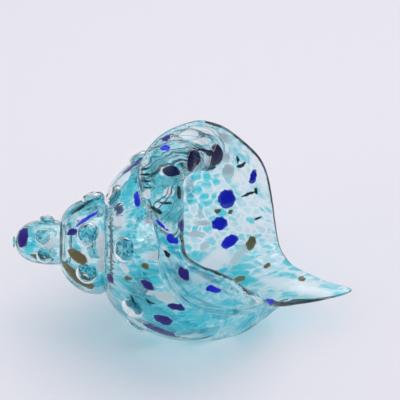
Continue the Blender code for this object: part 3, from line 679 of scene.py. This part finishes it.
def turquoise_glass(name, chips_and_painted_light, radius, tint_least, ripple_height, behind=None, bend=None, slanted=False):
    """Mottled glass with its chip marks and painted light: turquoise cells with white veins, streaked along
    the belly.

    The pattern is rolled on at a radius. Chips are scattered on the far side, beyond y behind.
    A bend, its middle and turn, gives the roll its rings, and slanted streaks lie on the lip.
    """
    material, wire = new_glass(name)
    spot = wire.node("TexCoord", output=3)
    spot = spot.node("VectorMath", {"operation": "SCALE"}, {0: spot, "Scale": 1000.0})
    drift = spot.node("TexNoise", None, {"Vector": spot, "Scale": 0.11, "Detail": 2.0}, 1)
    drift = spot.node("VectorMath", {"operation": "SUBTRACT"}, {0: drift, 1: (0.5, 0.5, 0.5)})
    across = {0: spot, 1: (0, 1, 1), 2: (0, 0, -AXIS_HEIGHT)}
    across = spot.node("VectorMath", {"operation": "MULTIPLY_ADD"}, across)
    across = spot.node("VectorMath", {"operation": "NORMALIZE"}, {0: across})
    on_axis = spot.node("VectorMath", {"operation": "MULTIPLY"}, {0: spot, 1: (1, 0, 0)})
    rolled = {0: across, 1: (0, radius, radius), 2: on_axis}
    rolled = spot.node("VectorMath", {"operation": "MULTIPLY_ADD"}, rolled)
    loose = spot.node("VectorMath", {"operation": "MULTIPLY_ADD"}, {0: drift, 1: (5, 5, 5), 2: rolled})
    soft = spot.node("VectorMath", {"operation": "MULTIPLY_ADD"}, {0: drift, 1: (4, 4, 4), 2: spot})
    wide = spot.node("VectorMath", {"operation": "MULTIPLY"}, {0: loose, 1: (0.75, 1.0, 1.0)})
    along = spot.node("VectorMath", {"operation": "MULTIPLY"}, {0: loose, 1: (0.36, 1.0, 1.0)})
    x_mm = spot.node("SeparateXYZ", None, {0: spot})
    y_mm, z_mm = x_mm.output(1), x_mm.output(2)

    # Cells and veins, streaks round the belly, and clouds in both
    to_edge = {"feature": "DISTANCE_TO_EDGE"}
    cells = spot.node("TexVoronoi", to_edge, {"Vector": wide, "Scale": CELL_SCALE})
    shade = spot.node("TexVoronoi", None, {"Vector": wide, "Scale": CELL_SCALE}, 1)
    streaks = spot.node("TexVoronoi", to_edge, {"Vector": along, "Scale": STREAK_SCALE})
    streak_shade = spot.node("TexVoronoi", None, {"Vector": along, "Scale": STREAK_SCALE}, 1)
    cells = cells.step(0.0, 0.2) * (shade.step(0.1, 0.9) * 0.7 + 0.32)
    streaks = streaks.step(0.0, 0.18) * (streak_shade.step(0.1, 0.8) * 0.7 + 0.3)
    belly = (y_mm * -1.0 + z_mm * -1.0).step(-95.0, -45.0)
    cloud = spot.node("TexNoise", None, {"Vector": spot, "Scale": CLOUD_SCALE, "Detail": 1.0})
    tint = (cells * (1.0 - belly) + streaks * belly) * (cloud.step(0.2, 0.55) * 0.35 + 0.65)

    # The nearest chip and patch of each kind, painted light among them: 1 at its edge, less inside
    rough = spot.node("TexNoise", None, {"Vector": spot, "Scale": 0.22, "Detail": 2.0}, 1)
    rough = spot.node("VectorMath", {"operation": "SUBTRACT"}, {0: rough, 1: (0.5, 0.5, 0.5)})
    ragged = {0: rough, 1: (3.6, 3.6, 3.6), 2: spot}
    ragged = spot.node("VectorMath", {"operation": "MULTIPLY_ADD"}, ragged)
    nearest = {}
    for kind, centre, length, width, turn in chips_and_painted_light:
        lie = camera.rotation_euler.to_matrix() @ Matrix.Rotation(math.radians(turn), 3, "Z")
        smooth = kind in (TEAL, DEEP, CLEAR, NIGHT) or width < THIN_CHIP
        depth = CLEAR_DEPTH if kind == CLEAR else CHIP_DEPTH
        chip = spot.node("Mapping", {"vector_type": "TEXTURE"}, {
            "Vector": soft if smooth else ragged, "Location": centre / MM,
            "Rotation": lie.to_euler(), "Scale": (length * PIXEL / 2, width * PIXEL / 2, depth),
        })
        reach = spot.node("VectorMath", {"operation": "LENGTH"}, {0: chip}, 1)
        nearest[kind] = nearest[kind].math("MINIMUM", reach) if kind in nearest else reach
    chip_and_painted_light_colour = (1, 1, 1, 1)
    chip_and_painted_light_mask = None
    pale = None
    for kind, colour in CHIP_AND_PAINTED_LIGHT_COLOURS.items():
        if kind not in nearest:
            continue
        edge = nearest[kind].step(1.06, 0.94)
        chip_and_painted_light_colour = mix(edge, chip_and_painted_light_colour, (*colour, 1))
        if kind in (WHITE, SHADED_WHITE):
            pale = edge if pale is None else pale.math("MAXIMUM", edge)
        edge = edge * CHIP_AND_PAINTED_LIGHT_COVER[kind]
        chip_and_painted_light_mask = edge if chip_and_painted_light_mask is None else chip_and_painted_light_mask.math("MAXIMUM", edge)
    if slanted:
        slant = {"Vector": loose, "Rotation": (0, -0.43, 0), "Scale": (1.0, 1.0, 6.0)}
        slant = spot.node("Mapping", {"vector_type": "TEXTURE"}, slant)
        slant = spot.node("TexNoise", None, {"Vector": slant, "Scale": SLANT_SCALE, "Detail": 2.0})
        upper = x_mm.step(30.0, 40.0) * z_mm.step(60.0, 80.0)
        tint = tint * (1.0 - upper) + slant.step(0.40, 0.62) * upper * 0.7
    tint = tint + nearest[TEAL].step(1.25, 0.75) * 0.55
    # Clear patches take the tint away; the thin strips along the near lip paint its highlight.
    if CLEAR in nearest:
        tint = tint * (1.0 - nearest[CLEAR].step(1.2, 0.7) * 0.95)
    tint = tint * (1.0 - pale * 0.9) + tint_least
    glass_colour = mix(tint.step(-0.1, 1.1), CLEAR_GLASS, TURQUOISE)
    # Deep patches turn the glass deep turquoise; the thin strips along the near lip and on the second
    # whorl's top paint dark reflections.
    deep = nearest[DEEP].step(1.15, 0.75) * (tint * 0.5 + 0.4)
    glass_colour = mix(deep, glass_colour, DEEP_TURQUOISE)

    milk_colour = mix(tint, PALE_MILK, TURQUOISE_MILK)
    milk_share = MILK_SHARE
    ripple = spot.node("TexNoise", None, {"Vector": along, "Scale": 0.10, "Detail": 2.0})
    if bend:
        # Rings round the bend of the roll, in white, teal and dark lines
        turned = {"Vector": spot, "Location": bend[0], "Rotation": bend[1]}
        turned = spot.node("Mapping", {"vector_type": "TEXTURE"}, turned)
        share = spot.node("TexGradient", {"gradient_type": "RADIAL"}, {"Vector": turned}, 1)
        flat = spot.node("VectorMath", {"operation": "MULTIPLY"}, {0: turned, 1: (1, 1, 0)})
        from_middle = spot.node("VectorMath", {"operation": "LENGTH"}, {0: flat}, 1)
        waver = spot.node("TexNoise", None, {"Vector": spot, "Scale": 0.09, "Detail": 1.0})
        ring = share * 110.0 - from_middle * 0.4 + waver * 5.0
        ring = spot.node("TexNoise", {"noise_dimensions": "1D"}, {"W": ring, "Scale": 1.0, "Detail": 2.0})
        front = spot.node("SeparateXYZ", None, {0: turned}, 2).step(-5.0, 1.0)
        plain = front * (1.0 - nearest[TEAL].step(1.3, 0.9) * 0.9)
        white = ring.step(0.46, 0.38) * plain
        strong = nearest[TEAL].step(1.2, 0.8) * (1.0 - white)
        lines = ring.step(0.60, 0.65) * front
        milk_colour = mix(white, mix(strong, milk_colour, ROLL_TEAL), ROLL_MILK)
        milk_share = (white * 0.35 + strong * 0.2 + MILK_SHARE) * (1.0 - lines)
        glass_colour = mix(lines * 0.95, mix(white * 0.9, glass_colour, ROLL_WHITE), ROLL_LINE)
        chip_and_painted_light_mask = chip_and_painted_light_mask * (1.0 - lines * (pale * 0.65 + 0.3))
        ripple = ripple * 0.5 + ring * 0.6
    ripple = spot.node("Bump", None, {"Height": ripple, "Strength": 1.0, "Distance": ripple_height})
    glass = spot.node("BsdfPrincipled", None, {
        "Base Color": glass_colour, "Roughness": 0.0, "IOR": GLASS_IOR, "Transmission Weight": 1.0,
        "Normal": ripple,
    })
    milk = spot.node("BsdfPrincipled", None, {
        "Base Color": milk_colour, "Roughness": 0.06, "IOR": GLASS_IOR, "Normal": ripple,
    })
    if behind:
        pick = {"Vector": ragged, "Scale": SCATTER_SCALE}
        scatter = spot.node("TexVoronoi", None, pick)
        few = spot.node("SeparateXYZ", None, {0: spot.node("TexVoronoi", None, pick, 1)})
        which, other = few.output(1), few.output(2)
        back = y_mm.step(behind, behind + 4.0) * x_mm.step(-14.0, -22.0)
        scatter = scatter.step(0.30, 0.25) * few.step(0.50, 0.52) * back
        colour = mix(which.step(0.60, 0.61), (*CHIP_AND_PAINTED_LIGHT_COLOURS[NAVY], 1), (*CHIP_AND_PAINTED_LIGHT_COLOURS[BROWN], 1))
        colour = mix(other.step(0.60, 0.61), colour, (*CHIP_AND_PAINTED_LIGHT_COLOURS[WHITE], 1))
        chip_and_painted_light_colour = mix(scatter, chip_and_painted_light_colour, colour)
        chip_and_painted_light_mask = chip_and_painted_light_mask.math("MAXIMUM", scatter * 0.9)
    chip_and_painted_light_glass = spot.node("BsdfPrincipled", None, {
        "Base Color": chip_and_painted_light_colour, "Roughness": 0.06, "IOR": GLASS_IOR, "Specular IOR Level": 0.12,
        "Normal": ripple,
    })
    lit = spot.node("MixShader", None, {0: milk_share, 1: glass, 2: milk})
    lit = spot.node("MixShader", None, {0: chip_and_painted_light_mask, 1: lit, 2: chip_and_painted_light_glass})
    # Lamps shine straight through and cast a tinted shadow
    shadow = mix(chip_and_painted_light_mask, mix(tint.step(0.0, 1.2), SHADE_PALE, SHADE_DEEP), SHADE_CHIP)
    through = spot.node("BsdfTransparent", None, {"Color": shadow})
    for_lamps = spot.node("LightPath", output=1)
    lit = spot.node("MixShader", None, {0: for_lamps, 1: lit, 2: through})
    spot.node("OutputMaterial", None, {"Surface": lit})
    return material


BODY, SPIRE, SCROLL, MOUTH, BORE, BELLY = range(6)
BELLY_X, MOUTH_X = -16.0, 8.0
SEAM_SPREAD, SEAM_DRIFT = 1.3, 2.0
SCROLL_REACH, BORE_SHARE = 0.6, 0.8
roll_line = kdtree.KDTree(len(centres))
for i, centre in enumerate(centres):
    roll_line.insert(centre, i)
roll_line.balance()


def region(point):
    """Which part of the shell a point in millimetres belongs to."""
    if point.x < BODY_SEAM[0]:
        return SPIRE
    _, i, distance = roll_line.find(point)
    if distance < radii[i] + SCROLL_REACH:
        return BORE if distance < radii[i] * BORE_SHARE else SCROLL
    if point.x > MOUTH_X:
        return MOUTH
    return BELLY if point.x > BELLY_X else BODY


# The bend of the roll: the middle of the circle through three of its points, and its plane
first_point, middle_point, last_point = (place(*SCROLL_LINE[i]) for i in (0, 4, 9))
to_middle = middle_point - first_point
to_last = last_point - first_point
square = to_middle.cross(to_last)
bend_centre = (to_middle.length_squared * to_last - to_last.length_squared * to_middle).cross(square)
bend_centre = bend_centre / (2 * square.length_squared) + first_point
bend = (bend_centre, square.to_track_quat("Z", "Y").to_euler())

# One material can't hold every chip: past about 80 it runs out of room and renders or bakes
# black. So each part of the glass has its own, with the chips and painted light it needs. The
# seam between body and belly crosses many chips, and each of those goes whole to both sides
part_chips_and_painted_light = {part: [] for part in (BODY, SPIRE, SCROLL, MOUTH, BORE, BELLY)}
for kind, rows in (*CHIPS_AND_PAINTED_LIGHT.items(), *PATCHES_AND_PAINTED_LIGHT.items()):
    for x, y, length, width, turn in rows:
        centre = chip_place(x, y)
        reach = Vector((length * PIXEL / 2, 0, 0))
        parts = {region(centre / MM + reach * side) for side in (-1, 0, 1)}
        if parts & {BODY, BELLY}:
            spread_x = reach.x * SEAM_SPREAD + SEAM_DRIFT
            ends = (centre.x / MM - spread_x, centre.x / MM + spread_x)
            parts |= {BELLY if end > BELLY_X else BODY for end in ends}
        for part in parts:
            part_chips_and_painted_light[part].append((kind, centre, length, width, turn))
mesh.materials.clear()
for material in (
    turquoise_glass("turquoise_glass", part_chips_and_painted_light[BODY], 62.0, 0.08, 0.5 * MM, behind=12.0),
    turquoise_glass("spire_glass", part_chips_and_painted_light[SPIRE], 30.0, 0.06, 0.5 * MM, behind=4.0),
    turquoise_glass("scroll_glass", part_chips_and_painted_light[SCROLL], 75.0, 0.08, 0.7 * MM, bend=bend),
    turquoise_glass("lip_glass", part_chips_and_painted_light[MOUTH], 62.0, 0.08, 0.5 * MM, slanted=True),
    turquoise_glass("bore_glass", part_chips_and_painted_light[BORE], 75.0, 0.05, 0.3 * MM),
    turquoise_glass("belly_glass", part_chips_and_painted_light[BELLY], 62.0, 0.08, 0.5 * MM, behind=12.0),
):
    mesh.materials.append(material)
for face in mesh.polygons:
    face.material_index = region(face.center / MM)
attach(glass_body, "root")
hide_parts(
    "spire_tip", "second_whorl", "body_whorl", "near_lip", "near_lip_bead",
    "siphon_beak", "outer_lip", "scroll",
)

# Drops
# Gobs of clear glass, dropped on each whorl while it is soft, which round off into lenses,
# and a last small one that caps the spire.

SHOULDER_LINE = (BODY_SEAM, BODY_CREST, (4.4, 70.5), BODY_FULLNESS)
# Names, whorl, width, height, and the angle and x of each drop's middle
DROPS = (
    ("spire_drop_%d", TIP, 12.0, 4.5, ((-25, -95), (39, -97), (88, -96), (195, -95), (262, -95))),
    ("second_whorl_drop_%d", SECOND, 16.5, 5.0,
     ((-22, -62), (39, -64), (88, -65), (178, -64), (228, -63.5), (283, -63))),
    ("shoulder_drop_%d", SHOULDER_LINE, 18.0, 4.8,
     ((9, -46.5), (58, -38), (104, -32.5), (150, -31), (197, -30), (244, -29), (290, -29), (334, -29.5))),
)
DROP_SINK = 0.35
DROP_RINGS, DROP_SIDES = 28, 48
DIMPLE_DEPTH, DIMPLE_REACH = 0.28, 0.36
WHORL_STEPS = 60
SLOPE_REACH = 1.5
DROP_TINT, DROP_LINE, DROP_DEEP = (0.35, 0.76, 0.81, 1), (0.01, 0.12, 0.17, 1), (0.02, 0.24, 0.31, 1)
DROP_SHADE = (0.93, 0.965, 0.97, 1)
DROP_IOR = 1.3
# Pixels of the two drops that the photograph shows darkest
DEEP_DROPS = ((113, 193), (131, 305))


def walk(line, distance):
    """Point at a distance along a line of x and radius."""
    for (x1, r1), (x2, r2) in zip(line, line[1:]):
        step = math.hypot(x2 - x1, r2 - r1)
        if distance <= step or (x2, r2) == line[-1]:
            share = distance / step
            return x1 + (x2 - x1) * share, r1 + (r2 - r1) * share
        distance -= step


def distance_to(line, x):
    """Distance along a line of x and radius to a given x."""
    gone = 0.0
    for (x1, r1), (x2, r2) in zip(line, line[1:]):
        if x2 >= x:
            return gone + math.hypot(x2 - x1, r2 - r1) * (x - x1) / (x2 - x1)
        gone += math.hypot(x2 - x1, r2 - r1)
    return gone


clear, wire = new_glass("clear_glass")
spot = wire.node("TexCoord", output=3)
spot = spot.node("VectorMath", {"operation": "SCALE"}, {0: spot, "Scale": 1000.0})
wobble = spot.node("TexNoise", None, {"Vector": spot, "Scale": 0.22, "Detail": 1.0})
fold = (wobble - 0.5).math("ABSOLUTE").step(0.035, 0.015)
drop_colour = mix(fold, DROP_TINT, DROP_LINE)
for x, y in DEEP_DROPS:
    reach = {0: spot, 1: chip_place(x, y) / MM}
    reach = spot.node("VectorMath", {"operation": "DISTANCE"}, reach, 1)
    drop_colour = mix(reach.step(14.0, 10.0) * 0.6, drop_colour, DROP_DEEP)
wobble = spot.node("Bump", None, {"Height": wobble, "Strength": 1.0, "Distance": 0.7 * MM})
lens = spot.node("BsdfPrincipled", None, {
    "Base Color": drop_colour, "Roughness": 0.0, "IOR": DROP_IOR, "Transmission Weight": 1.0,
    "Normal": wobble,
})
through = spot.node("BsdfTransparent", None, {"Color": DROP_SHADE})
for_lamps = spot.node("LightPath", output=1)
lit = spot.node("MixShader", None, {0: for_lamps, 1: lens, 2: through})
spot.node("OutputMaterial", None, {"Surface": lit})

for pattern, whorl, width, height, places in DROPS:
    line = whorl_line(*whorl, 0.0, WHORL_STEPS)
    for i, (angle, x) in enumerate(places):
        name = pattern % (i + 1)
        start = distance_to(line, x)
        whorl_radius = walk(line, start)[1]
        dome = bmesh.new()
        bmesh.ops.create_uvsphere(dome, u_segments=DROP_SIDES, v_segments=DROP_RINGS, radius=1.0)
        # The ball is wrapped on the whorl: its lower half lies on the glass, its upper half domes
        for vertex in dome.verts:
            share = vertex.co.xy.length
            along = vertex.co.x * width / 2
            across = vertex.co.y * width / 2
            drop_x, radius = walk(line, max(start + along, 0.0))
            before = walk(line, max(start + along - SLOPE_REACH, 0.0))
            after = walk(line, start + along + SLOPE_REACH)
            slope = math.hypot(after[0] - before[0], after[1] - before[1])
            forward = (after[0] - before[0]) / slope
            rise = (after[1] - before[1]) / slope
            turn = angle + math.degrees(across / whorl_radius)
            bearing = math.radians(turn)
            outward = Vector((-rise, -forward * math.sin(bearing), forward * math.cos(bearing)))
            dimple = 1.0 - DIMPLE_DEPTH * math.exp(-((share / DIMPLE_REACH) ** 2))
            lift = max(vertex.co.z, 0.0) * height * dimple - DROP_SINK
            vertex.co = (axis_point(drop_x, radius, turn) + outward * lift) * MM
        bmesh.ops.recalc_face_normals(dome, faces=dome.faces)
        drop_mesh = bpy.data.meshes.new(name)
        dome.to_mesh(drop_mesh)
        dome.free()
        drop_mesh.shade_smooth()
        drop_mesh.materials.append(clear)
        drop = bpy.data.objects.new("glass_" + name, drop_mesh)
        scene.collection.objects.link(drop)
        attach(drop, "root")
        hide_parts(name)

END_DROP_X = -118.8
END_DROP_HALF = (1.0, 4.0, 4.0)
END_DROP_RINGS, END_DROP_SIDES = 20, 32
cap = bmesh.new()
bmesh.ops.create_uvsphere(cap, u_segments=END_DROP_SIDES, v_segments=END_DROP_RINGS, radius=1.0)
bmesh.ops.scale(cap, verts=cap.verts, vec=Vector(END_DROP_HALF) * MM)
bmesh.ops.translate(cap, verts=cap.verts, vec=axis_point(END_DROP_X, 0.0, 0.0) * MM)
cap_mesh = bpy.data.meshes.new("spire_end_drop")
cap.to_mesh(cap_mesh)
cap.free()
cap_mesh.shade_smooth()
cap_mesh.materials.append(clear)
end_drop = bpy.data.objects.new("glass_spire_end_drop", cap_mesh)
scene.collection.objects.link(end_drop)
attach(end_drop, "root")
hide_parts("spire_end_drop")
